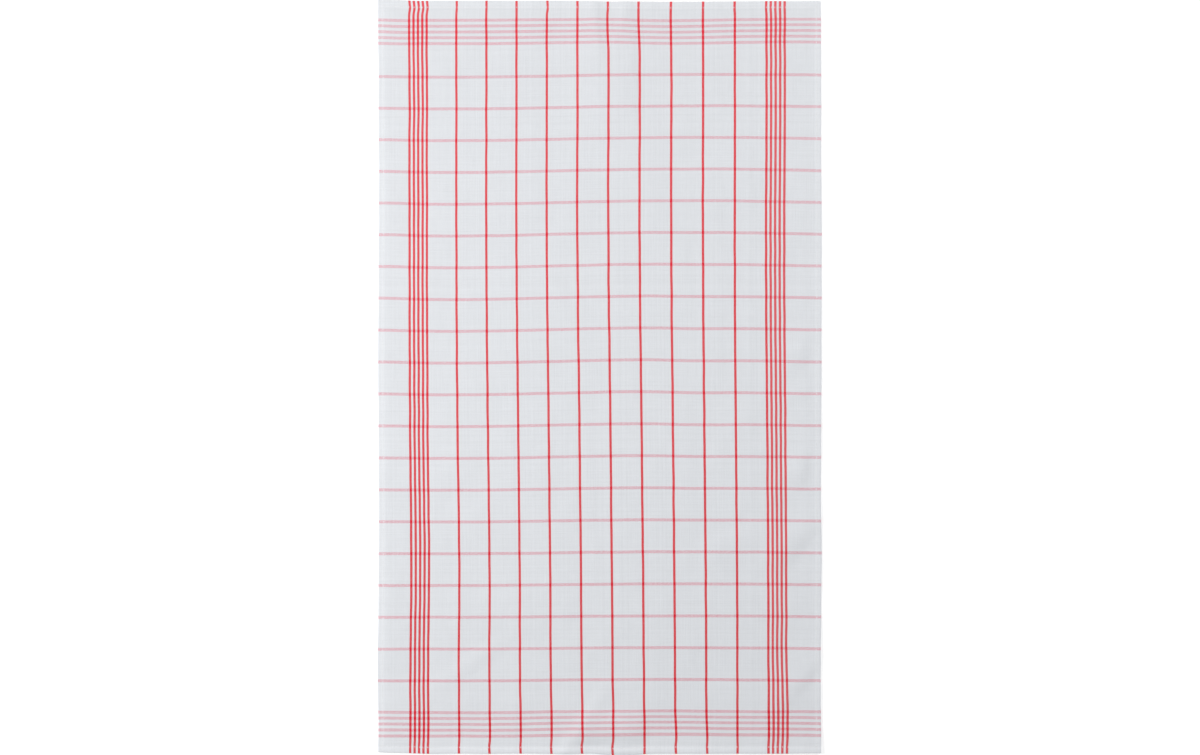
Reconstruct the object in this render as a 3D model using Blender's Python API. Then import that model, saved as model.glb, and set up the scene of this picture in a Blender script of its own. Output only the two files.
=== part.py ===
"""Tea towel: one piece of cotton cloth, hemmed on all four sides, lying flat with its face up.

The cloth is modelled as its underside, which rests on the surface apart from a few low ripples, and is
then thickened upwards by the plies that lie there: one in the field, a folded hem along each side, and
hem over hem at the corners. X runs across the width, Y along the length, and the origin is in the middle
of the underside.
"""

from collections import namedtuple
import math

import bmesh
import bpy

# The finished towel, in metres
WIDTH = 0.500
LENGTH = 0.850

# How thick it lies: the field, a hem turned under twice, and the corners, where one hem covers another
FIELD_THICKNESS = 0.0010
HEM_THICKNESS = 0.0018
CORNER_THICKNESS = 0.0026

# The end hems cross the warp, and the side hems run along it
END_HEM = 0.0072
SIDE_HEM = 0.0066
# Half of the slope by which the cloth drops from a hem to the surface
HEM_SLOPE = 0.0012
# The folded edge is round, as far in as this
RIM_ROUND = 0.0006
RIM_STEPS = 2
# The corners aren't folded to a sharp point
CORNER_EASE = 0.0009

# The widest spacing of the points that carry the ripples, and the bend, in degrees, under which faces are
# joined into one
SPACING = 0.0062
FLAT_WITHIN = 1.0

# Where the outline leaves the straight: the middle of the bow along its side, from the towel's middle, half
# of its length, and how far it goes out (or, where negative, in)
Bow = namedtuple("Bow", "side at half_length out")
BOWS = (
    Bow("left", at=0.425, half_length=0.080, out=0.0006),
    Bow("left", at=0.212, half_length=0.095, out=-0.0005),
    Bow("left", at=0.025, half_length=0.085, out=0.0004),
    Bow("left", at=-0.158, half_length=0.080, out=-0.0005),
    Bow("left", at=-0.327, half_length=0.070, out=0.0010),
    Bow("right", at=0.425, half_length=0.090, out=-0.0005),
    Bow("right", at=0.110, half_length=0.170, out=0.0005),
    Bow("right", at=-0.133, half_length=0.060, out=-0.0004),
    Bow("right", at=-0.201, half_length=0.045, out=0.0005),
    Bow("right", at=-0.345, half_length=0.110, out=-0.0007),
    Bow("top", at=-0.250, half_length=0.050, out=0.0020),
    Bow("top", at=-0.130, half_length=0.120, out=0.0005),
    Bow("top", at=0.088, half_length=0.110, out=-0.0005),
    Bow("bottom", at=-0.250, half_length=0.050, out=-0.0012),
    Bow("bottom", at=0.023, half_length=0.036, out=0.0024),
)
# A bow fades out this far inside the edge
BOW_REACH = 0.060

# The low ripples that stand off the surface: the middle of each, the heading of its crest, counted from +X
# towards +Y, half of its length and of its width, and how high the crest stands
Ripple = namedtuple("Ripple", "name x y heading half_length half_width height")
RIPPLES = (
    Ripple("top middle", x=-0.009, y=0.385, heading=91, half_length=0.135, half_width=0.0145, height=0.0024),
    Ripple("top, beside it", x=0.031, y=0.380, heading=88, half_length=0.115, half_width=0.0120, height=0.0019),
    Ripple("bottom middle", x=-0.006, y=-0.388, heading=76, half_length=0.075, half_width=0.0150, height=0.0022),
    Ripple("bottom bulge", x=-0.004, y=-0.412, heading=3, half_length=0.040, half_width=0.0150, height=0.0024),
    Ripple("bottom, beside it", x=0.041, y=-0.408, heading=80, half_length=0.045, half_width=0.0120, height=0.0020),
    Ripple("right, upper", x=0.229, y=-0.016, heading=38, half_length=0.055, half_width=0.0130, height=0.0014),
    Ripple("right, middle", x=0.232, y=-0.172, heading=36, half_length=0.080, half_width=0.0150, height=0.0022),
    Ripple("right, lower", x=0.236, y=-0.325, heading=52, half_length=0.070, half_width=0.0150, height=0.0021),
    Ripple("right, inside", x=0.150, y=-0.205, heading=42, half_length=0.085, half_width=0.0130, height=0.0010),
    Ripple("right, across it", x=0.142, y=-0.215, heading=128, half_length=0.085, half_width=0.0130, height=0.0009),
    Ripple("left, lower", x=-0.145, y=-0.322, heading=33, half_length=0.085, half_width=0.0140, height=0.0010),
    Ripple("lengthwise crease", x=-0.008, y=-0.180, heading=94, half_length=0.190, half_width=0.0100, height=0.0006),
)

COTTON = (0.80, 0.82, 0.86, 1.0)
COTTON_ROUGHNESS = 0.92


def clear_scene():
    """Empties the scene of the objects it starts with."""
    for old in list(bpy.data.objects):
        bpy.data.objects.remove(old)


def swell(share):
    """A soft rise that is 1 in its middle and meets the flat at a share of 1 on both sides."""
    return max(0.0, 1.0 - share * share) ** 2


def lines_across(size, hem):
    """Where the lines of points cross one direction: the edges, both ends of each hem's slope, and an even
    spacing between."""
    half = size / 2
    slope_top = half - hem + HEM_SLOPE
    slope_foot = half - hem - HEM_SLOPE
    spans = math.ceil(2 * slope_foot / SPACING)
    field = [-slope_foot + 2 * slope_foot * step / spans for step in range(spans + 1)]
    return [-half, -slope_top, *field, slope_top, half]


def on_hem(place, size, hem):
    """How much of a hem lies at this place: 1 on the hem, 0 on the field."""
    inside = size / 2 - abs(place)
    return min(1.0, max(0.0, (hem + HEM_SLOPE - inside) / (2 * HEM_SLOPE)))


def thickness_at(x, y):
    """The thickness of the plies that lie over one point."""
    side = on_hem(x, WIDTH, SIDE_HEM)
    end = on_hem(y, LENGTH, END_HEM)
    both = side * end
    hem = side + end - 2 * both
    return (
        FIELD_THICKNESS
        + hem * (HEM_THICKNESS - FIELD_THICKNESS)
        + both * (CORNER_THICKNESS - FIELD_THICKNESS)
    )


def bowed(side, along, inside):
    """How far a point moves out where its side bows."""
    reach = swell(inside / BOW_REACH) if inside < BOW_REACH else 0.0
    return reach * sum(
        bow.out * swell(min(1.0, abs(along - bow.at) / bow.half_length)) for bow in BOWS if bow.side == side
    )


def outline_at(x, y):
    """The point's place on the towel as it lies, inside its uneven outline."""
    moved_x = bowed("right", y, WIDTH / 2 - x) - bowed("left", y, WIDTH / 2 + x)
    moved_y = bowed("top", x, LENGTH / 2 - y) - bowed("bottom", x, LENGTH / 2 + y)
    if math.isclose(abs(x), WIDTH / 2) and math.isclose(abs(y), LENGTH / 2):
        moved_x -= math.copysign(CORNER_EASE, x)
        moved_y -= math.copysign(CORNER_EASE, y)
    return x + moved_x, y + moved_y


def lift_at(x, y):
    """How high the ripples carry the underside over the surface."""
    lift = 0.0
    for ripple in RIPPLES:
        turn = math.radians(ripple.heading)
        away_x = x - ripple.x
        away_y = y - ripple.y
        along = away_x * math.cos(turn) + away_y * math.sin(turn)
        across = away_y * math.cos(turn) - away_x * math.sin(turn)
        if abs(along) < ripple.half_length and abs(across) < ripple.half_width:
            lift += ripple.height * swell(along / ripple.half_length) * swell(across / ripple.half_width)
    return lift


def underside_mesh():
    """The underside as a grid of points, and each point's thickness as a share of the corner's."""
    columns = lines_across(WIDTH, SIDE_HEM)
    rows = lines_across(LENGTH, END_HEM)
    shape = bmesh.new()
    plies = shape.verts.layers.deform.verify()
    bmesh.ops.create_grid(shape, x_segments=len(columns) - 1, y_segments=len(rows) - 1, size=0.5)
    for point in shape.verts:
        x = columns[round((point.co.x + 0.5) * (len(columns) - 1))]
        y = rows[round((point.co.y + 0.5) * (len(rows) - 1))]
        point.co = (*outline_at(x, y), lift_at(x, y))
        point[plies][0] = thickness_at(x, y) / CORNER_THICKNESS

    # A ripple keeps all of its faces when the flat runs are joined
    for face in shape.faces:
        if any(point.co.z > 0 for point in face.verts):
            for edge in face.edges:
                edge.seam = True

    # The origin is in the middle of the uneven outline
    across = [point.co.x for point in shape.verts]
    along = [point.co.y for point in shape.verts]
    middle = ((min(across) + max(across)) / 2, (min(along) + max(along)) / 2, 0.0)
    bmesh.ops.translate(shape, verts=shape.verts, vec=[-value for value in middle])

    mesh = bpy.data.meshes.new("cloth")
    shape.to_mesh(mesh)
    shape.free()
    return mesh


def cotton_material():
    """Matt white cotton."""
    cotton = bpy.data.materials.new("cotton")
    cotton.diffuse_color = COTTON
    cotton.use_nodes = True
    surface = cotton.node_tree.nodes["Principled BSDF"]
    surface.inputs["Base Color"].default_value = COTTON
    surface.inputs["Roughness"].default_value = COTTON_ROUGHNESS
    surface.inputs["Metallic"].default_value = 0.0
    return cotton


def make_cloth():
    """The whole towel, hems and all, as one thin solid."""
    cloth = bpy.data.objects.new("cloth", underside_mesh())
    bpy.context.scene.collection.objects.link(cloth)
    cloth.data.materials.append(cotton_material())
    cloth.vertex_groups.new(name="plies")

    plies = cloth.modifiers.new("plies", "SOLIDIFY")
    plies.thickness = CORNER_THICKNESS
    plies.offset = 1.0
    plies.vertex_group = "plies"
    plies.thickness_vertex_group = 0.0

    rim = cloth.modifiers.new("rim", "BEVEL")
    rim.width = RIM_ROUND
    rim.segments = RIM_STEPS
    rim.limit_method = "ANGLE"
    rim.angle_limit = math.radians(60)
    rim.use_clamp_overlap = False

    flat_runs = cloth.modifiers.new("flat runs", "DECIMATE")
    flat_runs.decimate_type = "DISSOLVE"
    flat_runs.angle_limit = math.radians(FLAT_WITHIN)
    flat_runs.delimit = {"SEAM"}

    cloth.data.shade_smooth()


clear_scene()
make_cloth()
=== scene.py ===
from collections import namedtuple
import math

import bpy
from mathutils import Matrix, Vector, noise
import numpy as np


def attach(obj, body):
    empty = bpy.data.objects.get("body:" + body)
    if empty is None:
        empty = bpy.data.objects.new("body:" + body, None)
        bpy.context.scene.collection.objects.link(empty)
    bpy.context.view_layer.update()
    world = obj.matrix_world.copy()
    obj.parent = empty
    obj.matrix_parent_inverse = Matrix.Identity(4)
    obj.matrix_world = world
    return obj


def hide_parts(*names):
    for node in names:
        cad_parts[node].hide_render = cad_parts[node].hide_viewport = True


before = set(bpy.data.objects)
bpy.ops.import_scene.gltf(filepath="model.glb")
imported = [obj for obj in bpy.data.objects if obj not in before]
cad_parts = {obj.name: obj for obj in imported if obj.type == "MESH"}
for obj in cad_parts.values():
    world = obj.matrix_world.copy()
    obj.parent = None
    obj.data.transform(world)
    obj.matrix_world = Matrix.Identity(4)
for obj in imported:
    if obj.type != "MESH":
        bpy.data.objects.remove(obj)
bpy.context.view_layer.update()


# The surface, the light and the camera. The towel lies on a plain white board in a bright room, with one
# large soft lamp on the left and a weaker one towards the upper right, and the camera looks straight down.
BOARD_SIZE = 14.0
BOARD_GAP = 0.0004
BOARD_COLOUR = (0.93, 0.93, 0.93, 1.0)
BOARD_ROUGHNESS = 0.9
BOARD_SHINE = 0.1
BOARD_GLOW_COLOUR = (1.0, 1.0, 1.0, 1.0)
BOARD_GLOW = 0.30
# How strongly the room lights the towel, and how bright the camera sees it
ROOM_COLOUR = (0.985, 0.993, 1.0, 1.0)
ROOM_STRENGTH = 0.53
ROOM_SEEN = 1.0
LAMP_COLOUR = (1.0, 0.985, 0.965)
Lamp = namedtuple("Lamp", "name at size watts")
LAMPS = (
    Lamp("left lamp", at=(-1.36, 0.13, 1.20), size=0.9, watts=18.0),
    Lamp("right lamp", at=(1.29, 0.79, 1.02), size=0.9, watts=8.4),
)

bpy.ops.object.select_all(action="DESELECT")
bpy.ops.mesh.primitive_plane_add(size=BOARD_SIZE, location=(0.0, 0.0, -BOARD_GAP))
board = bpy.context.object
board.name = "board"
bpy.ops.object.transform_apply(location=True, rotation=True, scale=True)
white_board = bpy.data.materials.new("white board")
white_board.use_nodes = True
board_surface = white_board.node_tree.nodes["Principled BSDF"]
board_surface.inputs["Base Color"].default_value = BOARD_COLOUR
board_surface.inputs["Roughness"].default_value = BOARD_ROUGHNESS
board_surface.inputs["Specular IOR Level"].default_value = BOARD_SHINE
board_surface.inputs["Emission Color"].default_value = BOARD_GLOW_COLOUR
board_surface.inputs["Emission Strength"].default_value = BOARD_GLOW
board.data.materials.append(white_board)

room = bpy.data.worlds.new("bright room")
room.use_nodes = True
room_light = room.node_tree.nodes["Background"]
room_light.inputs["Color"].default_value = ROOM_COLOUR
room_seen = room.node_tree.nodes.new("ShaderNodeLightPath")
room_strength = room.node_tree.nodes.new("ShaderNodeMapRange")
room_strength.inputs["To Min"].default_value = ROOM_STRENGTH
room_strength.inputs["To Max"].default_value = ROOM_SEEN
room.node_tree.links.new(room_seen.outputs["Is Camera Ray"], room_strength.inputs["Value"])
room.node_tree.links.new(room_strength.outputs["Result"], room_light.inputs["Strength"])
bpy.context.scene.world = room

for lamp in LAMPS:
    bpy.ops.object.light_add(type="AREA", location=lamp.at)
    light = bpy.context.object
    light.name = lamp.name
    light.rotation_euler = (-Vector(lamp.at)).to_track_quat("-Z", "Y").to_euler()
    light.data.size = lamp.size
    light.data.energy = lamp.watts
    light.data.color = LAMP_COLOUR
    light.visible_camera = False

# The camera stands at the height from which the towel is as wide as in the photo
TOWEL_WIDTH = 0.500
TOWEL_WIDTH_PIXELS = 442.85
PHOTO_WIDTH_PIXELS = 1200
LENS_MM = 85.0
SENSOR_MM = 36.0
CAMERA_AT = (0.00035, 0.0002)
CAMERA_REACH = 50.0
view_width = TOWEL_WIDTH / TOWEL_WIDTH_PIXELS * PHOTO_WIDTH_PIXELS
bpy.ops.object.camera_add(location=(*CAMERA_AT, view_width * LENS_MM / SENSOR_MM), rotation=(0.0, 0.0, 0.0))
camera = bpy.context.object
camera.data.lens = LENS_MM
camera.data.sensor_width = SENSOR_MM
camera.data.clip_end = CAMERA_REACH
bpy.context.scene.camera = camera
bpy.context.scene.view_settings.view_transform = "Standard"


# The cloth: one length of plain-woven cotton, white with a check of red yarn. All four edges are turned under
# twice and sewn down, the two sides first and the two ends over them, so the corners hold nine plies.
TOWEL_LENGTH = 0.8495
SIDE_HEM = 0.0070
END_HEM = 0.0079
CLOTH_THICKNESS = 0.00040
# What a ply takes up in a stack, and how far sewing presses the corners
PLY = 0.00043
CORNER_PRESS = 0.70
# The cloth comes down from a hem to the board within this width, and the hems stand a little higher along
# their inner folds than along the outer ones
HEM_DROP = 0.030
HEM_STAND = 0.00016
# The width in which the plies of a hem end, and how much lighter they make its face
HEM_EDGE = 0.0013
SIDE_HEM_LIGHTER = 0.051
END_HEM_LIGHTER = 0.041
# How far the raw edge, turned in, stops short of the outer fold
SIDE_RAW_EDGE = 0.0030
END_RAW_EDGE = 0.0005
# The rows of sewing, counted in from the outer fold
SIDE_SEAM = 0.0054
END_SEAM = 0.0073
SEAM_DIP = 0.00014
SEAM_DIP_WIDTH = 0.0010

# The parts of one half of the cloth, from its middle out, along the face and round under it, and the number
# of strips of mesh in each
Part = namedtuple("Part", "name strips")
FOLDS = (Part("outer fold", 6), Part("under", 3), Part("inner fold", 4), Part("turned in", 3))
SIDE_PARTS = (Part("field", 58), Part("drop", 9), Part("over", 5), *FOLDS)
END_PARTS = (Part("field", 98), Part("drop", 9), Part("over", 7), *FOLDS)

# How the outline leaves the straight, as in the solid: the middle of each bow along its side, half of its
# length, and how far it goes out
Bow = namedtuple("Bow", "side at half_length out")
BOWS = (
    Bow("left", at=0.425, half_length=0.080, out=0.0006),
    Bow("left", at=0.212, half_length=0.095, out=-0.0005),
    Bow("left", at=0.025, half_length=0.085, out=0.0004),
    Bow("left", at=-0.158, half_length=0.080, out=-0.0005),
    Bow("left", at=-0.327, half_length=0.070, out=0.0010),
    Bow("right", at=0.425, half_length=0.090, out=-0.0005),
    Bow("right", at=0.110, half_length=0.170, out=0.0005),
    Bow("right", at=-0.133, half_length=0.060, out=-0.0004),
    Bow("right", at=-0.201, half_length=0.045, out=0.0005),
    Bow("right", at=-0.345, half_length=0.110, out=-0.0007),
    Bow("top", at=-0.250, half_length=0.050, out=0.0016),
    Bow("top", at=-0.130, half_length=0.120, out=0.0003),
    Bow("top", at=-0.050, half_length=0.045, out=0.0004),
    Bow("top", at=0.012, half_length=0.040, out=-0.0006),
    Bow("top", at=0.088, half_length=0.110, out=-0.0007),
    Bow("bottom", at=-0.250, half_length=0.060, out=-0.0015),
    Bow("bottom", at=0.023, half_length=0.036, out=0.0024),
    Bow("bottom", at=0.250, half_length=0.060, out=-0.0006),
)
BOW_REACH = 0.020

# The low ripples that stand off the board: the middle of each crest, its heading counted from +X towards +Y,
# half of its length, how far it reaches to the left and to the right of that heading, its height, and how
# round its crest is, from 1 for a sharp one to 2
Ripple = namedtuple("Ripple", "name x y heading half_length left right height crest", defaults=(2.0,))
RIPPLES = (
    Ripple("top middle", x=-0.0042, y=0.385, heading=92, half_length=0.150, left=0.036, right=0.016, height=0.0024,
           crest=1.35),
    Ripple("top middle, at the hem", x=-0.006, y=0.414, heading=90, half_length=0.030, left=0.013, right=0.011,
           height=0.0012, crest=1.5),
    Ripple("top, broad", x=0.008, y=0.350, heading=91, half_length=0.200, left=0.060, right=0.070, height=0.0018),
    Ripple("top, beside it", x=0.031, y=0.365, heading=91, half_length=0.165, left=0.060, right=0.014, height=0.0013),
    Ripple("top, beside it, at the hem", x=0.0275, y=0.412, heading=90, half_length=0.030, left=0.012, right=0.012,
           height=0.0018, crest=1.6),
    Ripple("bottom middle", x=-0.030, y=-0.408, heading=57, half_length=0.100, left=0.013, right=0.020,
           height=0.0020, crest=1.6),
    Ripple("bottom bulge", x=0.002, y=-0.401, heading=2, half_length=0.054, left=0.034, right=0.015, height=0.0026),
    Ripple("bottom, beside it", x=0.040, y=-0.402, heading=4, half_length=0.022, left=0.030, right=0.014,
           height=0.0016),
    Ripple("bottom, all along", x=0.0, y=-0.386, heading=0, half_length=0.420, left=0.050, right=0.030,
           height=0.0012),
    Ripple("bottom, along the hem", x=0.0, y=-0.4216, heading=0, half_length=0.420, left=0.0062, right=0.0057,
           height=0.0011),
    Ripple("right, along the hem", x=0.2462, y=0.0, heading=90, half_length=0.900, left=0.0052, right=0.0042,
           height=0.00024),
    Ripple("right, upper", x=0.226, y=0.025, heading=88, half_length=0.022, left=0.022, right=0.013, height=0.0020),
    Ripple("right, at the middle", x=0.227, y=-0.017, heading=90, half_length=0.014, left=0.020, right=0.013,
           height=0.0013),
    Ripple("right, above the middle", x=0.225, y=-0.104, heading=84, half_length=0.026, left=0.022, right=0.013,
           height=0.0030),
    Ripple("right, middle", x=0.221, y=-0.185, heading=50, half_length=0.048, left=0.026, right=0.016, height=0.0022),
    Ripple("right, lower", x=0.225, y=-0.342, heading=54, half_length=0.056, left=0.034, right=0.016, height=0.0026,
           crest=1.6),
    Ripple("right, inside", x=0.150, y=-0.185, heading=20, half_length=0.075, left=0.018, right=0.022, height=0.0011),
    Ripple("right, across it", x=0.142, y=-0.215, heading=128, half_length=0.085, left=0.013, right=0.013,
           height=0.0008),
    Ripple("left, lower", x=-0.145, y=-0.322, heading=33, half_length=0.085, left=0.014, right=0.014, height=0.0010),
    Ripple("lengthwise crease", x=-0.008, y=-0.180, heading=94, half_length=0.190, left=0.010, right=0.010,
           height=0.0005, crest=1.6),
)

# Where the weave has been pulled out of square as it was laid: the middle of each pull, how far it reaches
# along X and Y, and how far it carries the yarns there to the right and up
Pull = namedtuple("Pull", "name x y reach_x reach_y right up", defaults=(0.0, 0.0))
PULLS = (
    Pull("upper half, to the left", x=-0.010, y=0.270, reach_x=0.245, reach_y=0.620, right=-0.0052),
    Pull("lower half, to the left", x=-0.015, y=-0.240, reach_x=0.225, reach_y=0.260, right=-0.0018),
    Pull("lower half, to the right", x=0.0, y=-0.300, reach_x=0.700, reach_y=0.380, right=0.0019),
    Pull("right of the middle, up", x=0.100, y=0.090, reach_x=0.260, reach_y=0.550, up=0.0043),
    Pull("right and below the middle, down", x=0.150, y=-0.030, reach_x=0.130, reach_y=0.200, up=-0.0012),
    Pull("top right, up", x=0.170, y=0.300, reach_x=0.120, reach_y=0.150, up=0.0006),
    Pull("bottom, up", x=0.060, y=-0.370, reach_x=0.200, reach_y=0.130, up=0.0010),
    Pull("left group, to the right", x=-0.214, y=0.100, reach_x=0.050, reach_y=0.420, right=0.0008),
    Pull("left, below the middle, to the right", x=-0.190, y=-0.200, reach_x=0.130, reach_y=0.150, right=0.0009),
    Pull("bottom of the right group, to the right", x=0.228, y=-0.395, reach_x=0.058, reach_y=0.090, right=0.0020),
    Pull("bottom, right of the middle, to the right", x=0.103, y=-0.420, reach_x=0.060, reach_y=0.045, right=0.0014),
    Pull("right group, upper half, to the left", x=0.201, y=0.130, reach_x=0.050, reach_y=0.165, right=-0.0006),
    Pull("left group, high, to the right", x=-0.206, y=0.309, reach_x=0.040, reach_y=0.060, right=0.0005),
    Pull("top middle, to the left", x=0.040, y=0.412, reach_x=0.075, reach_y=0.050, right=-0.0016),
    Pull("top group, down", x=0.078, y=0.405, reach_x=0.085, reach_y=0.045, up=-0.0018),
    Pull("top group, right, down", x=0.115, y=0.402, reach_x=0.110, reach_y=0.055, up=-0.0013),
    Pull("top group, over the fold, down", x=-0.004, y=0.402, reach_x=0.032, reach_y=0.050, up=-0.0005),
    Pull("top group, left, down", x=-0.222, y=0.402, reach_x=0.030, reach_y=0.050, up=-0.0007),
    Pull("bottom group, up", x=0.055, y=-0.412, reach_x=0.105, reach_y=0.040, up=0.0028),
    Pull("bottom group, left, up", x=-0.038, y=-0.408, reach_x=0.070, reach_y=0.050, up=0.0011),
    Pull("bottom group, right, up", x=0.190, y=-0.414, reach_x=0.130, reach_y=0.045, up=0.0020),
    Pull("bottom group, highest line, up", x=0.085, y=-0.371, reach_x=0.105, reach_y=0.014, up=0.0008),
    Pull("bottom group, right end, up", x=0.245, y=-0.374, reach_x=0.060, reach_y=0.018, up=0.0010),
    Pull("bottom group, left end, up", x=-0.240, y=-0.392, reach_x=0.040, reach_y=0.045, up=0.0006),
    Pull("top group, lowest line, down", x=0.105, y=0.372, reach_x=0.110, reach_y=0.016, up=-0.0008),
    Pull("top half, high, to the right", x=0.020, y=0.300, reach_x=0.250, reach_y=0.110, right=0.00045),
    Pull("lower half, low, to the left", x=-0.080, y=-0.315, reach_x=0.230, reach_y=0.085, right=-0.0006),
    Pull("beside the right group, down", x=0.110, y=-0.010, reach_x=0.055, reach_y=0.260, up=-0.0007),
    Pull("right edge, down", x=0.232, y=-0.010, reach_x=0.035, reach_y=0.130, up=-0.0006),
    Pull("top right corner, up", x=0.240, y=0.330, reach_x=0.060, reach_y=0.110, up=0.0009),
    Pull("left edge, up", x=-0.255, y=0.120, reach_x=0.070, reach_y=0.360, up=0.0015),
)
# A pull fades out towards the hem that runs across it
PULL_FADE = 0.035

# How far the sewing dragged the upper ply of an end hem along: the middle of each drag, half of its length,
# and how far it goes to the right
Drag = namedtuple("Drag", "side at half_length right")
DRAGS = (
    Drag("top", at=-0.200, half_length=0.060, right=0.0013),
    Drag("top", at=-0.060, half_length=0.030, right=0.0011),
    Drag("top", at=0.012, half_length=0.040, right=0.0005),
    Drag("top", at=0.165, half_length=0.060, right=-0.0006),
    Drag("bottom", at=0.0, half_length=0.400, right=-0.0005),
    Drag("bottom", at=-0.125, half_length=0.030, right=-0.0004),
    Drag("bottom", at=-0.055, half_length=0.030, right=-0.0001),
    Drag("bottom", at=-0.021, half_length=0.025, right=-0.0007),
    Drag("bottom", at=0.014, half_length=0.030, right=-0.0007),
    Drag("bottom", at=0.050, half_length=0.025, right=0.0006),
    Drag("bottom", at=0.090, half_length=0.040, right=-0.0004),
    Drag("bottom", at=0.155, half_length=0.025, right=0.0006),
)
# A drag fades out this far inside the seam, and this share of it is left at the outer fold
DRAG_FADE = 0.009
DRAG_AT_FOLD = 0.45

# Small unevenness: how far apart its swells lie along X and Y, and how far they rise off the board, or carry
# the yarns to the right and up the length
Uneven = namedtuple("Uneven", "name along_x along_y seed rise right up", defaults=(0.0, 0.0, 0.0))
UNEVEN = (
    Uneven("slack cloth", along_x=0.036, along_y=0.046, seed=1.0, rise=0.00095),
    Uneven("crushed cloth", along_x=0.014, along_y=0.018, seed=7.0, rise=0.00030),
    Uneven("wandering yarns", along_x=0.030, along_y=0.026, seed=23.0, right=0.00016, up=0.00013),
)
# The sewing gathers the cloth a little along every hem
PUCKER_SPACING = 0.011
PUCKER_HEIGHT = 0.00020
PUCKER_REACH = 0.010
PUCKER_SEED = 41.0


def swell(share, crest=2.0):
    """A soft rise that is 1 in its middle and meets the flat at a share of 1 on both sides."""
    return np.maximum(0.0, 1.0 - np.abs(share) ** crest) ** 2


def soft_step(share):
    """From 0 to 1 with no kink at either end."""
    share = np.clip(share, 0.0, 1.0)
    return share * share * (3.0 - 2.0 * share)


def climb_at(inside, hem):
    """How far the face has climbed onto a hem, by the distance inside its outer fold."""
    return soft_step((hem + HEM_DROP - inside) / HEM_DROP)


def plies_at(inside, hem, raw_edge):
    """The plies under the face as a share of a hem's: all as far as the raw edge, and half of them past it."""
    in_hem = np.clip((hem + HEM_EDGE - inside) / HEM_EDGE, 0.0, 1.0)
    past_raw_edge = np.clip((raw_edge + PLY - inside) / HEM_EDGE, 0.0, 1.0)
    return in_hem * (1.0 - 0.5 * past_raw_edge)


def hem_line(part, share, half, hem, raw_edge, ply):
    """One line of a half cloth: where it lies from the middle, which way its face leans from straight up,
    how far it has climbed, and its level in the hem, from 1 on top to -1 below. The outer fold goes round
    the ply that is turned in, and the inner fold lies close on itself."""
    foot = half - hem - HEM_DROP
    outer = half - 1.5 * ply
    crease = half - hem + ply
    swing = math.pi * share
    if part == "field":
        return foot * share, 0.0, 0.0, 1.0
    if part == "drop":
        near = 1.0 - (1.0 - share) ** 2
        return foot + HEM_DROP * near, 0.0, soft_step(near), 1.0
    if part == "over":
        return half - hem + (outer - half + hem) * share, 0.0, 1.0, 1.0
    if part == "outer fold":
        return outer + ply * math.sin(swing), swing, 1.0, math.cos(swing)
    if part == "under":
        return outer + (crease - outer) * share, math.pi, 1.0, -1.0
    if part == "inner fold":
        return crease - ply / 2 * math.sin(swing), math.pi + swing, 1.0, -0.5 - 0.5 * math.cos(swing)
    return crease + (outer - raw_edge - crease) * share, 2 * math.pi, 1.0, 0.0


def lines_across(parts):
    """(sign, part, share) for each line from one raw edge to the other."""
    half = [("field", 0.0)]
    for part in parts:
        half += [(part.name, (strip + 1) / part.strips) for strip in range(part.strips)]
    return [(-1, *line) for line in reversed(half[1:])] + [(1, *line) for line in half]


def cut_places(lines, half, hem, raw_edge):
    """How far each line was from the middle of the flat cloth: the way along the folded cloth to it."""
    places, levels = [], []
    for sign, part, share in lines:
        place, lean, climb, level = hem_line(part, share, half, hem, raw_edge, PLY)
        places.append(sign * place)
        levels.append(PLY * climb * (1.0 + level))
    along = np.concatenate([[0.0], np.cumsum(np.hypot(np.diff(places), np.diff(levels)))])
    return along - along[-1] / 2


def wander(x, y, along_x, along_y, seed):
    """Smooth noise between about -1 and 1 at each place."""
    spots = zip((x / along_x).ravel(), (y / along_y).ravel())
    values = [noise.noise(Vector((across, along, seed))) for across, along in spots]
    return 2.0 * np.array(values).reshape(np.shape(x))


def lifted(x, y):
    """How high the ripples and the small unevenness carry the cloth over the board."""
    lift = np.zeros_like(x)
    for ripple in RIPPLES:
        turn = math.radians(ripple.heading)
        along = (x - ripple.x) * math.cos(turn) + (y - ripple.y) * math.sin(turn)
        across = (y - ripple.y) * math.cos(turn) - (x - ripple.x) * math.sin(turn)
        reach = np.where(across > 0, ripple.left, ripple.right)
        lift += ripple.height * swell(along / ripple.half_length) * swell(across / reach, ripple.crest)
    for uneven in UNEVEN:
        if uneven.rise:
            lift += uneven.rise * (0.5 + 0.5 * wander(x, y, uneven.along_x, uneven.along_y, uneven.seed))
    inside_x, inside_y = TOWEL_WIDTH / 2 - np.abs(x), TOWEL_LENGTH / 2 - np.abs(y)
    near_hem = np.maximum(climb_at(inside_x, SIDE_HEM), climb_at(inside_y, END_HEM))
    from_fold = np.clip(np.minimum(inside_x / SIDE_HEM, inside_y / END_HEM), 0.0, 1.0)
    lift += HEM_STAND * near_hem * (1.0 - (1.0 - from_fold) ** 2)
    for half, across, along in ((TOWEL_WIDTH / 2, x, y), (TOWEL_LENGTH / 2, y, x)):
        gathered = 0.5 + 0.5 * wander(along, np.sign(across), PUCKER_SPACING, 1.0, PUCKER_SEED + half)
        from_hem = (half - np.abs(across) - SIDE_HEM) / PUCKER_REACH
        lift += PUCKER_HEIGHT * gathered * swell(np.clip(from_hem, -1.0, 1.0))
    return np.maximum(lift, 0.0)


def bowed(side, along, inside):
    """How far the points of a side move out."""
    out = sum(bow.out * swell(np.minimum(1.0, np.abs(along - bow.at) / bow.half_length))
              for bow in BOWS if bow.side == side)
    return out * swell(np.clip(inside / BOW_REACH, 0.0, 1.0))


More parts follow.
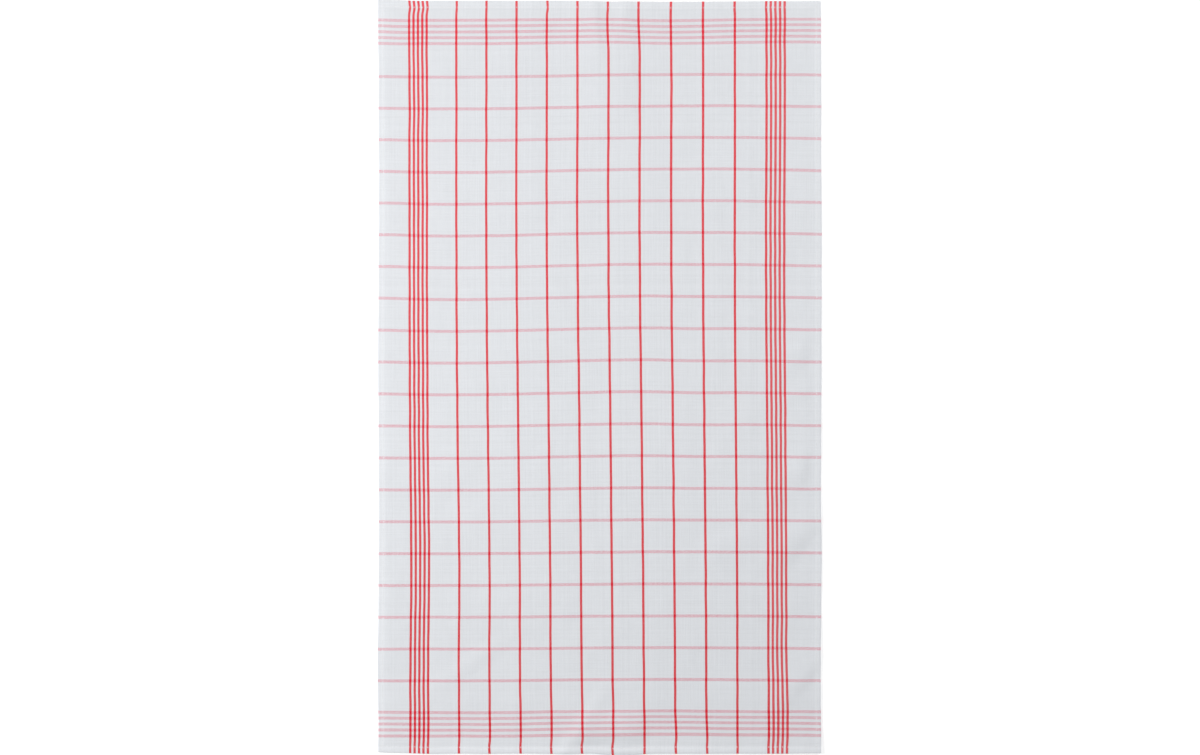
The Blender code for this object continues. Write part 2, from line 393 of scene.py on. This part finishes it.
def laid(x, y):
    """Where points of the straight towel come to lie in the plane of the board."""
    half_width, half_length = TOWEL_WIDTH / 2, TOWEL_LENGTH / 2
    right = bowed("right", y, half_width - x) - bowed("left", y, half_width + x)
    up = bowed("top", x, half_length - y) - bowed("bottom", x, half_length + y)
    fade_x = soft_step((half_width - np.abs(x)) / PULL_FADE)
    fade_y = soft_step((half_length - np.abs(y)) / PULL_FADE)
    for pull in PULLS:
        strength = swell(np.clip((x - pull.x) / pull.reach_x, -1.0, 1.0))
        strength = strength * swell(np.clip((y - pull.y) / pull.reach_y, -1.0, 1.0))
        right = right + pull.right * strength * fade_x
        up = up + pull.up * strength * fade_y
    for side, inside in (("top", half_length - y), ("bottom", half_length + y)):
        from_seam = inside - END_SEAM
        share = np.where(from_seam > 0, swell(np.clip(from_seam / DRAG_FADE, 0.0, 1.0)),
                         1.0 + (1.0 - DRAG_AT_FOLD) * from_seam / END_SEAM)
        right = right + share * sum(drag.right * swell((x - drag.at) / drag.half_length)
                                    for drag in DRAGS if drag.side == side)
    for uneven in UNEVEN:
        if uneven.right:
            right = right + uneven.right * wander(x, y, uneven.along_x, uneven.along_y, uneven.seed)
            up = up + uneven.up * wander(x, y, uneven.along_x, uneven.along_y, -uneven.seed)
    return x + right, y + up


def stack_at(climb_x, climb_y):
    """The thickness of one ply and of the whole side hem where the hems have climbed this far."""
    ply = PLY * (1.0 - (1.0 - CORNER_PRESS) * climb_x * climb_y)
    return ply, ply * (1.0 + 2.0 * climb_x)


def seam_dip(x, y):
    """How deep the sewing pulls the top ply in."""
    from_side = TOWEL_WIDTH / 2 - np.abs(x) - SIDE_SEAM
    from_end = TOWEL_LENGTH / 2 - np.abs(y) - END_SEAM
    return SEAM_DIP * np.maximum(np.exp(-(from_side / SEAM_DIP_WIDTH) ** 2),
                                 np.exp(-(from_end / SEAM_DIP_WIDTH) ** 2))


columns = lines_across(SIDE_PARTS)
rows = lines_across(END_PARTS)
cut_x = cut_places(columns, TOWEL_WIDTH / 2, SIDE_HEM, SIDE_RAW_EDGE)
cut_y = cut_places(rows, TOWEL_LENGTH / 2, END_HEM, END_RAW_EDGE)

# The side hems are turned first: each column's place across the towel and its level in the stack of plies
side_lines = np.array([hem_line(part, share, TOWEL_WIDTH / 2, SIDE_HEM, SIDE_RAW_EDGE, PLY)
                       for sign, part, share in columns])
side_sign = np.array([sign for sign, part, share in columns])
side_place, side_climb, side_level = side_lines[:, 0], side_lines[:, 2], side_lines[:, 3]
side_plies = plies_at(TOWEL_WIDTH / 2 - side_place, SIDE_HEM, SIDE_RAW_EDGE)

# The end hems then turn that whole stack, row by row
points = np.zeros((len(rows), len(columns), 3))
pressed = np.zeros((len(rows), len(columns)))
hem_light = np.ones((len(rows), len(columns)))
for index, (sign, part, share) in enumerate(rows):
    climb = hem_line(part, share, TOWEL_LENGTH / 2, END_HEM, END_RAW_EDGE, PLY)[2]
    ply, stack = stack_at(side_climb, climb)
    place, lean, climb, level = hem_line(part, share, TOWEL_LENGTH / 2, END_HEM, END_RAW_EDGE, stack)
    off_middle = side_level * (stack - ply) / 2
    middle = stack * (0.5 + climb * (1.0 + level))
    points[index, :, 0] = side_sign * side_place
    points[index, :, 1] = sign * (place + off_middle * math.sin(lean))
    points[index, :, 2] = middle + off_middle * math.cos(lean)
    pressed[index] = ply / PLY
    end_plies = plies_at(TOWEL_LENGTH / 2 - place, END_HEM, END_RAW_EDGE)
    hem_light[index] = 1.0 + np.maximum(SIDE_HEM_LIGHTER * side_plies, END_HEM_LIGHTER * end_plies)
    on_face = (side_level == 1.0) & (level == 1.0)
    dip = seam_dip(points[index, :, 0], points[index, :, 1])
    points[index, :, 2] -= np.where(on_face, dip, 0.0)

points[:, :, 0], points[:, :, 1] = laid(points[:, :, 0].copy(), points[:, :, 1].copy())
# The origin is in the middle of the outline, as in the solid
outline_middle = np.array([points[:, :, axis].min() + points[:, :, axis].max() for axis in (0, 1)]) / 2
points[:, :, :2] -= outline_middle
points[:, :, 2] += lifted(points[:, :, 0], points[:, :, 1])

bpy.ops.object.select_all(action="DESELECT")
bpy.ops.mesh.primitive_grid_add(x_subdivisions=len(columns) - 1, y_subdivisions=len(rows) - 1, size=1.0)
cloth = bpy.context.object
cloth.name = "towel_cloth"
cloth.data.vertices.foreach_set("co", points.reshape(-1))
cloth.vertex_groups.new(name="pressed")
pressed = pressed.round(3).ravel()
for value in np.unique(pressed):
    cloth.vertex_groups["pressed"].add(np.flatnonzero(pressed == value).tolist(), float(value), "REPLACE")
lightness = cloth.data.attributes.new("hem light", "FLOAT", "POINT")
lightness.data.foreach_set("value", hem_light.ravel().astype(np.float32))


def whole_numbers(items, what):
    """One whole number of each of a mesh's items."""
    numbers = np.empty(len(items), np.int32)
    items.foreach_get(what, numbers)
    return numbers


# Each yarn keeps its place in the flat cloth, in metres, as the map that the weave follows
for layer in list(cloth.data.uv_layers):
    cloth.data.uv_layers.remove(layer)
yarn_places = np.stack([np.tile(cut_x, len(rows)), np.repeat(cut_y, len(columns))], axis=1)
weave_map = cloth.data.uv_layers.new(name="flat cloth")
weave_map.data.foreach_set("uv", yarn_places[whole_numbers(cloth.data.loops, "vertex_index")].ravel())

# The surface shows a fold as an edge only where it bends by more degrees than this
FOLD_SHOWS = 50
thickness = cloth.modifiers.new("thickness", "SOLIDIFY")
thickness.thickness = CLOTH_THICKNESS
thickness.offset = 0.0
thickness.vertex_group = "pressed"
bpy.ops.object.modifier_apply(modifier="thickness")
bpy.ops.object.shade_smooth_by_angle(angle=math.radians(FOLD_SHOWS))

# The two faces of the cloth also lie side by side in a second map of their own
CHART_EDGE = 0.008
cut_size = (float(cut_x[-1] - cut_x[0]), float(cut_y[-1] - cut_y[0]))
face_cells = (len(columns) - 1) * (len(rows) - 1)
corners_each = whole_numbers(cloth.data.polygons, "loop_total")
second_face = np.repeat(np.arange(len(corners_each)) >= face_cells, corners_each)
corner_places = yarn_places[whole_numbers(cloth.data.loops, "vertex_index") % len(yarn_places)]
shares = (corner_places / cut_size + 0.5) * (0.5 - 2 * CHART_EDGE, 1.0 - 2 * CHART_EDGE)
shares += CHART_EDGE
shares[second_face, 0] += 0.5
bake_map = cloth.data.uv_layers.new(name="OFBake")
bake_map.data.foreach_set("uv", shares.ravel())

# The weave.
CHECK_ENDS = 90
CHECK_PICKS = 76
CHECK_ACROSS = 0.03487
CHECK_ALONG = 0.03586
FIRST_WARP_LINE = -0.1949
FIRST_WEFT_LINE = -0.3425
LINE_YARNS = 7
# Each set of lines: its first yarn, the yarns from line to line, the number of lines, and how deep its dye is
Lines = namedtuple("Lines", "name first step count depth")
WARP_LINES = (
    Lines("left group", first=-52, step=13, count=4, depth=1.0),
    Lines("single lines", first=0, step=90, count=12, depth=1.0),
    Lines("right group", first=1003, step=13, count=4, depth=0.96),
)
WEFT_LINES = (
    Lines("bottom group", first=-132, step=14, count=5, depth=1.0),
    Lines("single lines", first=0, step=76, count=20, depth=1.0),
    Lines("top group", first=1524, step=14, count=5, depth=1.0),
)
WHITE_COTTON = (0.777, 0.800, 0.837, 1.0)
RED_WARP_TOP = (0.79, 0.029, 0.047, 1.0)
RED_WARP_BOTTOM = (0.695, 0.013, 0.026, 1.0)
RED_WEFT_TOP = (0.77, 0.082, 0.180, 1.0)
RED_WEFT_BOTTOM = (0.71, 0.004, 0.090, 1.0)
# The reds are deepest near the lower end and paler from here up
PALE_FROM = (-0.41, 0.30)
# The warp covers more than the weft, and most of all in the red lines, where it is set closer
WARP_OVER = 0.205
WARP_OVER_IN_LINE = 0.75
# How soft the change from yarn to yarn is, and the painted shade on the yarns' sides, where they dip under each
# other, and the painted highlight on their crowns
WEAVE_BLUR = 0.35
CROWN_FROM = 0.7
PAINTED_YARN_SIDE_SHADE = 0.90
PAINTED_CROWN_HIGHLIGHT = 1.03
# How far along a yarn its shade wanders, and how much, and where in that wandering it swells to a slub
WARP_WANDER = 0.024
WARP_CONTRAST = 0.078
WEFT_WANDER = 0.018
WEFT_CONTRAST = 0.105
SLUB_FROM = 0.62
SLUB_FULL = 0.76
YARN_RELIEF = 0.00005
SLUB_RELIEF = 0.5
# The roughness of the darkest and of the lightest yarn, and the soft shine of cotton
DARK_YARN_ROUGHNESS = 0.86
LIGHT_YARN_ROUGHNESS = 0.96
YARN_SHADES = (0.9, 1.1)
COTTON_SHINE = 0.15
SHEEN = 0.10
SHEEN_ROUGHNESS = 0.6


def linked(tree, kind, *values, **settings):
    """A new shader node with its settings, each input in turn joined to a socket or set to a value."""
    node = tree.nodes.new(kind)
    for setting, value in settings.items():
        setattr(node, setting, value)
    for socket, value in zip(node.inputs, values):
        if isinstance(value, bpy.types.NodeSocket):
            tree.links.new(value, socket)
        elif value is not None:
            socket.default_value = value
    return node


def reckoned(tree, operation, *values):
    """The result of a sum on sockets and numbers."""
    return linked(tree, "ShaderNodeMath", *values, operation=operation).outputs[0]


def blended(tree, share, low, high, how="MIX"):
    """A colour between two, by a share."""
    node = tree.nodes.new("ShaderNodeMix")
    node.data_type = "RGBA"
    node.blend_type = how
    for socket, value in ((node.inputs[0], share), (node.inputs[6], low), (node.inputs[7], high)):
        if isinstance(value, bpy.types.NodeSocket):
            tree.links.new(value, socket)
        else:
            socket.default_value = value
    return node.outputs[2]


def spread(tree, value, from_low, from_high, to_low, to_high, smooth=False):
    """A value carried from one range to another and kept inside it."""
    how = "SMOOTHSTEP" if smooth else "LINEAR"
    return linked(tree, "ShaderNodeMapRange", value, from_low, from_high, to_low, to_high,
                  interpolation_type=how).outputs[0]


def effect(name, inputs, outputs):
    """An empty shader node group with number sockets, and its two ends."""
    tree = bpy.data.node_groups.new(name, "ShaderNodeTree")
    for socket in inputs:
        tree.interface.new_socket(name=socket, in_out="INPUT", socket_type="NodeSocketFloat")
    for socket in outputs:
        tree.interface.new_socket(name=socket, in_out="OUTPUT", socket_type="NodeSocketFloat")
    return tree, tree.nodes.new("NodeGroupInput").outputs, tree.nodes.new("NodeGroupOutput").inputs


# Coloured lines: 1 on the yarns of a set of even lines, else 0
coloured_lines, given, result = effect("coloured lines", ("Yarn", "First", "Step", "Last", "Yarns"), ("Line",))
from_first = reckoned(coloured_lines, "SUBTRACT", given["Yarn"], given["First"])
nearest = reckoned(coloured_lines, "ROUND", reckoned(coloured_lines, "DIVIDE", from_first, given["Step"]))
nearest = reckoned(coloured_lines, "MINIMUM", reckoned(coloured_lines, "MAXIMUM", nearest, 0.0), given["Last"])
off_line = reckoned(coloured_lines, "SUBTRACT", from_first,
                    reckoned(coloured_lines, "MULTIPLY", nearest, given["Step"]))
half_line = reckoned(coloured_lines, "MULTIPLY", given["Yarns"], 0.5)
coloured_lines.links.new(
    reckoned(coloured_lines, "LESS_THAN", reckoned(coloured_lines, "ABSOLUTE", off_line), half_line),
    result["Line"],
)

# Cotton yarn: each yarn has a shade of its own, which wanders along it, with a thicker slub here and there. The
# yarns read the noise far enough apart to have nothing in common
NOISE_APART = 400.0
cotton_yarn, given, result = effect("cotton yarn", ("Yarn", "Along", "Wander Length", "Contrast"), ("Shade", "Slub"))
own = linked(cotton_yarn, "ShaderNodeTexWhiteNoise", noise_dimensions="1D")
cotton_yarn.links.new(given["Yarn"], own.inputs["W"])
own_place = reckoned(cotton_yarn, "MULTIPLY", own.outputs["Value"], NOISE_APART)
along_yarn = reckoned(cotton_yarn, "DIVIDE", given["Along"], given["Wander Length"])
yarn_spot = linked(cotton_yarn, "ShaderNodeCombineXYZ", own_place, along_yarn)
wandering = linked(cotton_yarn, "ShaderNodeTexNoise", noise_dimensions="2D")
wandering.inputs["Scale"].default_value = 1.0
wandering.inputs["Detail"].default_value = 2.0
cotton_yarn.links.new(yarn_spot.outputs[0], wandering.inputs["Vector"])
own_shade = reckoned(cotton_yarn, "SUBTRACT", own.outputs["Value"], 0.5)
wandered = reckoned(cotton_yarn, "MULTIPLY", reckoned(cotton_yarn, "SUBTRACT", wandering.outputs[0], 0.5), 2.0)
both_shades = reckoned(cotton_yarn, "MULTIPLY", reckoned(cotton_yarn, "ADD", own_shade, wandered), given["Contrast"])
cotton_yarn.links.new(reckoned(cotton_yarn, "ADD", both_shades, 1.0), result["Shade"])
slub = spread(cotton_yarn, wandering.outputs[0], SLUB_FROM, SLUB_FULL, 0.0, 1.0, smooth=True)
cotton_yarn.links.new(slub, result["Slub"])


def placed(tree, group, **values):
    """A group set into a material, its inputs joined or set by name."""
    node = tree.nodes.new("ShaderNodeGroup")
    node.node_tree = group
    for name, value in values.items():
        socket = node.inputs[name.replace("_", " ")]
        if isinstance(value, bpy.types.NodeSocket):
            tree.links.new(value, socket)
        else:
            socket.default_value = value
    return node.outputs


checked_cotton = bpy.data.materials.new("checked cotton cloth")
checked_cotton.use_nodes = True
weave = checked_cotton.node_tree
flat_place = linked(weave, "ShaderNodeUVMap", uv_map="flat cloth")
across_along = linked(weave, "ShaderNodeSeparateXYZ", flat_place.outputs[0])


def counted(place, first_line, check_yarns, check_size, line_sets):
    """Yarns counted from the first line: the running count, the number of the yarn there, and how deeply it is
    coloured."""
    count = reckoned(weave, "MULTIPLY", reckoned(weave, "SUBTRACT", place, first_line), check_yarns / check_size)
    count = reckoned(weave, "ADD", count, 0.5)
    yarn = reckoned(weave, "FLOOR", count)
    coloured = 0.0
    for lines in line_sets:
        line = placed(weave, coloured_lines, Yarn=yarn, First=lines.first, Step=lines.step, Last=lines.count - 1,
                      Yarns=LINE_YARNS)["Line"]
        coloured = reckoned(weave, "MAXIMUM", coloured, reckoned(weave, "MULTIPLY", line, lines.depth))
    return count, yarn, coloured


warp_count, warp_yarn, warp_line = counted(across_along.outputs["X"], FIRST_WARP_LINE, CHECK_ENDS, CHECK_ACROSS,
                                           WARP_LINES)
weft_count, weft_yarn, weft_line = counted(across_along.outputs["Y"], FIRST_WEFT_LINE, CHECK_PICKS, CHECK_ALONG,
                                           WEFT_LINES)

# Plain weave: the warp is on top where the yarns' waves meet with the same sign
warp_wave = reckoned(weave, "SINE", reckoned(weave, "MULTIPLY", warp_count, math.pi))
weft_wave = reckoned(weave, "SINE", reckoned(weave, "MULTIPLY", weft_count, math.pi))
crossing = reckoned(weave, "MULTIPLY", warp_wave, weft_wave)
warp_over = spread(weave, warp_line, 0.0, 1.0, WARP_OVER, WARP_OVER_IN_LINE)
over = reckoned(weave, "ADD", crossing, warp_over)
warp_on_top = spread(weave, over, -WEAVE_BLUR, WEAVE_BLUR, 0.0, 1.0)

warp_look = placed(weave, cotton_yarn, Yarn=warp_yarn, Along=across_along.outputs["Y"],
                   Wander_Length=WARP_WANDER, Contrast=WARP_CONTRAST)
weft_look = placed(weave, cotton_yarn, Yarn=weft_yarn, Along=across_along.outputs["X"],
                   Wander_Length=WEFT_WANDER, Contrast=WEFT_CONTRAST)
pale = spread(weave, across_along.outputs["Y"], *PALE_FROM, 0.0, 1.0)
warp_red = blended(weave, pale, RED_WARP_BOTTOM, RED_WARP_TOP)
weft_red = blended(weave, pale, RED_WEFT_BOTTOM, RED_WEFT_TOP)
warp_colour = blended(weave, warp_line, WHITE_COTTON, warp_red)
weft_colour = blended(weave, weft_line, WHITE_COTTON, weft_red)
yarn_shade = reckoned(weave, "ADD", reckoned(weave, "MULTIPLY", warp_on_top, warp_look["Shade"]),
                      reckoned(weave, "MULTIPLY", reckoned(weave, "SUBTRACT", 1.0, warp_on_top), weft_look["Shade"]))
# Painted shade on the yarns' sides and painted highlight on their crowns, by how far each place is from a change of
# yarn
painted_crown_light = spread(weave, reckoned(weave, "ABSOLUTE", over), 0.0, CROWN_FROM, PAINTED_YARN_SIDE_SHADE, PAINTED_CROWN_HIGHLIGHT)
hems = linked(weave, "ShaderNodeAttribute", attribute_type="GEOMETRY", attribute_name="hem light")
# The colour carries each yarn's own tone, the painted yarn shade and highlight, and the hems' lighter face
shading = reckoned(weave, "MULTIPLY", reckoned(weave, "MULTIPLY", yarn_shade, painted_crown_light), hems.outputs["Fac"])
cloth_colour = blended(weave, warp_on_top, weft_colour, warp_colour)
shading_grey = linked(weave, "ShaderNodeCombineColor", shading, shading, shading)
shaded = blended(weave, 1.0, cloth_colour, shading_grey.outputs[0], how="MULTIPLY")

cotton = weave.nodes["Principled BSDF"]
weave.links.new(shaded, cotton.inputs["Base Color"])
roughness = spread(weave, yarn_shade, *YARN_SHADES, DARK_YARN_ROUGHNESS, LIGHT_YARN_ROUGHNESS)
weave.links.new(roughness, cotton.inputs["Roughness"])
cotton.inputs["Specular IOR Level"].default_value = COTTON_SHINE
cotton.inputs["Sheen Weight"].default_value = SHEEN
cotton.inputs["Sheen Roughness"].default_value = SHEEN_ROUGHNESS
slubs = reckoned(weave, "ADD", warp_look["Slub"], weft_look["Slub"])
yarn_height = reckoned(weave, "ADD", reckoned(weave, "ABSOLUTE", over),
                       reckoned(weave, "MULTIPLY", slubs, SLUB_RELIEF))
relief = weave.nodes.new("ShaderNodeBump")
relief.inputs["Strength"].default_value = 1.0
relief.inputs["Distance"].default_value = YARN_RELIEF
weave.links.new(yarn_height, relief.inputs["Height"])
weave.links.new(relief.outputs["Normal"], cotton.inputs["Normal"])
cloth.data.materials.append(checked_cotton)

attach(cloth, "root")
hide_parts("cloth")


# The sewing: one row of white lockstitch along every hem, just outside its inner fold. The sides are sewn
# first, so on the face their rows run on over the end hems, and on the back the end hems cover them.
STITCH_PITCH = 0.0030
STITCH_LENGTH = 0.0026
STITCH_WIDTH = 0.00086
STITCH_HEIGHT = 0.00038
STITCH_SIDES = 8
STITCH_RINGS = 5
# How deep the ends of a stitch go down into the cloth, and how far the stitch strays from its place
STITCH_END_DIP = 0.00022
STITCH_JITTER = 0.00010
# The rows stop this far inside the outer folds. Those on the back lie at this level, and the side rows there
# stop this far short of the end hems
SEAM_ENDS = 0.0016
BACK_STITCH_LEVEL = 0.00010
SIDE_ROWS_SHORT = 0.0005
SEWING_SEED = 5

bpy.ops.object.select_all(action="DESELECT")
bpy.ops.mesh.primitive_uv_sphere_add(segments=STITCH_SIDES, ring_count=STITCH_RINGS, radius=0.5)
stitch = bpy.context.object
stitch.name = "one stitch"
bpy.ops.object.mode_set(mode="EDIT")
bpy.ops.mesh.select_all(action="SELECT")
bpy.ops.transform.rotate(value=math.pi / 2, orient_axis="Y", center_override=(0.0, 0.0, 0.0))
bpy.ops.transform.resize(value=(STITCH_LENGTH, STITCH_WIDTH, STITCH_HEIGHT), center_override=(0.0, 0.0, 0.0))
bpy.ops.object.mode_set(mode="OBJECT")
for point in stitch.data.vertices:
    point.co.z -= STITCH_END_DIP * (2 * point.co.x / STITCH_LENGTH) ** 4
stitch_points = np.array([point.co for point in stitch.data.vertices])
# The faces come in a new order each time the script runs, so they are sorted
sorted_faces = sorted(stitch.data.polygons, key=lambda face: tuple(face.vertices))
stitch_faces = [list(face.vertices) for face in sorted_faces]
map_corners = stitch.data.uv_layers.active.data
stitch_map = [[tuple(map_corners[corner].uv) for corner in face.loop_indices] for face in sorted_faces]
bpy.data.objects.remove(stitch)

# The thread: two plies of white cotton twisted together, rougher in the groove between them, with painted shade
# darkening that groove
THREAD_COTTON = (0.86, 0.87, 0.89, 1.0)
THREAD_WANDER = 0.7
THREAD_CONTRAST = 0.10
TWISTS_IN_STITCH = 3.0
TWIST_CROWN_FROM = 0.8
PAINTED_GROOVE_SHADE = 0.86
TWIST_GROOVE_ROUGHNESS = 0.85
TWIST_CROWN_ROUGHNESS = 0.65
TWIST_RELIEF = 0.00006
white_thread = bpy.data.materials.new("white sewing thread")
white_thread.use_nodes = True
strand = white_thread.node_tree
around_along = linked(strand, "ShaderNodeSeparateXYZ",
                      linked(strand, "ShaderNodeUVMap", uv_map="along thread").outputs[0])
stitch_number = linked(strand, "ShaderNodeAttribute", attribute_type="GEOMETRY", attribute_name="stitch number")
turn = reckoned(strand, "ADD", reckoned(strand, "MULTIPLY", around_along.outputs["Y"], TWISTS_IN_STITCH),
                around_along.outputs["X"])
twist = reckoned(strand, "ABSOLUTE", reckoned(strand, "SINE", reckoned(strand, "MULTIPLY", turn, 2 * math.pi)))
thread_look = placed(strand, cotton_yarn, Yarn=stitch_number.outputs["Fac"], Along=around_along.outputs["Y"],
                     Wander_Length=THREAD_WANDER, Contrast=THREAD_CONTRAST)
# Painted shade darkens the groove between the twisted plies
painted_groove_shade = spread(strand, twist, 0.0, TWIST_CROWN_FROM, PAINTED_GROOVE_SHADE, 1.0)
thread_shade = reckoned(strand, "MULTIPLY", painted_groove_shade, thread_look["Shade"])
thread_grey = linked(strand, "ShaderNodeCombineColor", thread_shade, thread_shade, thread_shade)
thread_surface = strand.nodes["Principled BSDF"]
strand.links.new(blended(strand, 1.0, THREAD_COTTON, thread_grey.outputs[0], how="MULTIPLY"),
                 thread_surface.inputs["Base Color"])
thread_roughness = spread(strand, twist, 0.0, 1.0, TWIST_GROOVE_ROUGHNESS, TWIST_CROWN_ROUGHNESS)
strand.links.new(thread_roughness, thread_surface.inputs["Roughness"])
thread_surface.inputs["Sheen Weight"].default_value = SHEEN
thread_relief = strand.nodes.new("ShaderNodeBump")
thread_relief.inputs["Distance"].default_value = TWIST_RELIEF
strand.links.new(twist, thread_relief.inputs["Height"])
strand.links.new(thread_relief.outputs["Normal"], thread_surface.inputs["Normal"])


def seam_places(half_run, chance):
    """Where the stitches of one straight row lie along it."""
    count = int(2 * half_run / STITCH_PITCH)
    places = (np.arange(count) - (count - 1) / 2) * STITCH_PITCH
    return places + chance.uniform(-STITCH_JITTER, STITCH_JITTER, count)


def seam_rows(side_run, end_run, chance):
    """The flat place and heading of every stitch on the four hems, the side rows and the end rows each reaching
    as far as their run from the middle."""
    stitches = []
    for sign in (-1, 1):
        along = seam_places(side_run, chance)
        across = sign * (TOWEL_WIDTH / 2 - SIDE_SEAM) + chance.uniform(-1, 1, len(along)) * STITCH_JITTER
        stitches += list(zip(across, along, np.full(len(along), math.pi / 2)))
        along = seam_places(end_run, chance)
        across = sign * (TOWEL_LENGTH / 2 - END_SEAM) + chance.uniform(-1, 1, len(along)) * STITCH_JITTER
        stitches += list(zip(along, across, np.zeros(len(along))))
    return np.array(stitches)


def face_level(x, y):
    """The height of the top of the cloth over the flat place."""
    climb_x = climb_at(TOWEL_WIDTH / 2 - np.abs(x), SIDE_HEM)
    climb_y = climb_at(TOWEL_LENGTH / 2 - np.abs(y), END_HEM)
    ply, stack = stack_at(climb_x, climb_y)
    top = stack * (1.0 + 2.0 * climb_y) - ply / 2 + CLOTH_THICKNESS / 2 * ply / PLY
    return top - seam_dip(x, y)


# Each stitch has a cell of its own in the second map, and keeps this far inside it
CELL_EDGE = 0.1


def sewn(name, stitches, level, upward):
    """All of the stitches of one face as one mesh, each laid along its seam at its level. Upward is 1 on the
    face, and -1 on the back, where the stitch is turned over."""
    half_stitch = STITCH_LENGTH / 2 * np.array([np.cos(stitches[:, 2]), np.sin(stitches[:, 2])])

    def ends_at(way):
        """Where one end of every stitch comes to lie, and at what level."""
        flat = stitches[:, :2].T + way * half_stitch
        place = np.array(laid(*flat)) - outline_middle[:, None]
        return place, (level(*flat) + lifted(*place))[:, None]

    ahead, ahead_level = ends_at(1)
    behind, behind_level = ends_at(-1)
    middle_x, middle_y = ((ahead + behind) / 2)[:, :, None]
    forward_x, forward_y = ((ahead - behind) / np.linalg.norm(ahead - behind, axis=0))[:, :, None]
    tilt = (ahead_level - behind_level) / STITCH_LENGTH
    along, across, high = stitch_points.T
    points = np.stack([
        middle_x + forward_x * along - forward_y * across,
        middle_y + forward_y * along + forward_x * across,
        (ahead_level + behind_level) / 2 + upward * high + tilt * along,
    ], axis=2)
    faces = [[number * len(stitch_points) + corner for corner in face[::upward]]
             for number in range(len(stitches)) for face in stitch_faces]
    mesh = bpy.data.meshes.new(name)
    mesh.from_pydata(points.reshape(-1, 3).tolist(), [], faces)
    seam = bpy.data.objects.new(name, mesh)
    bpy.context.scene.collection.objects.link(seam)

    corner_map = np.array([place for face in stitch_map for place in face[::upward]])
    thread_map = mesh.uv_layers.new(name="along thread")
    thread_map.data.foreach_set("uv", np.tile(corner_map, (len(stitches), 1)).ravel())
    numbers = np.arange(len(stitches))
    cells_across = math.ceil(math.sqrt(len(stitches)))
    cells = np.stack([numbers % cells_across, numbers // cells_across], axis=1)
    cell_map = (cells[:, None, :] + CELL_EDGE + (1 - 2 * CELL_EDGE) * corner_map[None, :, :]) / cells_across
    bake_map = mesh.uv_layers.new(name="OFBake")
    bake_map.data.foreach_set("uv", cell_map.ravel())
    stitch_numbers = mesh.attributes.new("stitch number", "FLOAT", "POINT")
    stitch_numbers.data.foreach_set("value", np.repeat(numbers, len(stitch_points)).astype(np.float32))
    mesh.shade_smooth()
    mesh.materials.append(white_thread)
    return seam


chance = np.random.default_rng(SEWING_SEED)
face_rows = seam_rows(TOWEL_LENGTH / 2 - SEAM_ENDS, TOWEL_WIDTH / 2 - SEAM_ENDS, chance)
face_seams = sewn("face_stitching", face_rows, face_level, 1)
back_rows = seam_rows(TOWEL_LENGTH / 2 - END_HEM - SIDE_ROWS_SHORT, TOWEL_WIDTH / 2 - SEAM_ENDS, chance)
back_seams = sewn("back_stitching", back_rows, lambda x, y: BACK_STITCH_LEVEL, -1)
for seam in (face_seams, back_seams):
    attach(seam, "root")
